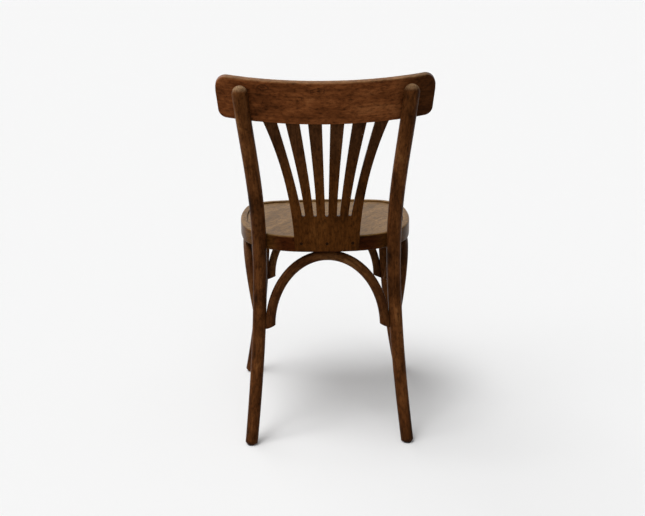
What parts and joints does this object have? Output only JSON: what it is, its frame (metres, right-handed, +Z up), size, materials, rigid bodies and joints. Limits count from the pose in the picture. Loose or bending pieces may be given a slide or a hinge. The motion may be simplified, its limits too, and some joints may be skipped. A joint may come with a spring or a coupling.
{
  "type": "bentwood bistro chair",
  "caption": "Bentwood bistro chair: round bent legs braced by bows under a rounded ring seat, with a fan-shaped slatted splat below a curved top rail.",
  "frame": {"origin": "on the floor, under the middle of the chair's overall width and depth", "axes": "+Z up; +Y to the rear, from the sitter's knees to the back rest; +X to the sitter's left"},
  "size_m": [0.4766, 0.5117, 0.8222],
  "materials": {
    "stained_beech": "walnut-brown stained beech under satin lacquer",
    "stained_plywood": "walnut-brown stained beech plywood under satin lacquer",
    "plug_wood": "dark stained plug, satin",
    "fastener_steel": "zinc plated, dull",
    "glide_plastic": "black, matte"
  },
  "bodies": {
    "root": {"rear_leg_left": "stained_beech", "rear_leg_right": "stained_beech", "front_leg_left": "stained_beech", "front_leg_right": "stained_beech", "seat_ring": "stained_beech", "seat_panel": "stained_plywood", "back_rail": "stained_beech", "back_splat": "stained_plywood", "rear_bow": "stained_beech", "front_bow": "stained_beech", "side_bow_left": "stained_beech", "side_bow_right": "stained_beech", "glide_rear_left": "glide_plastic", "glide_rear_right": "glide_plastic", "glide_front_left": "glide_plastic", "glide_front_right": "glide_plastic", "glide_nails": "fastener_steel", "splat_screws": "fastener_steel", "splat_plugs": "plug_wood", "rail_screws": "fastener_steel", "rail_plugs": "plug_wood", "leg_bolts": "fastener_steel", "leg_washers": "fastener_steel", "bow_end_screws": "fastener_steel", "bow_top_screws": "fastener_steel"}
  },
  "joints": []
}
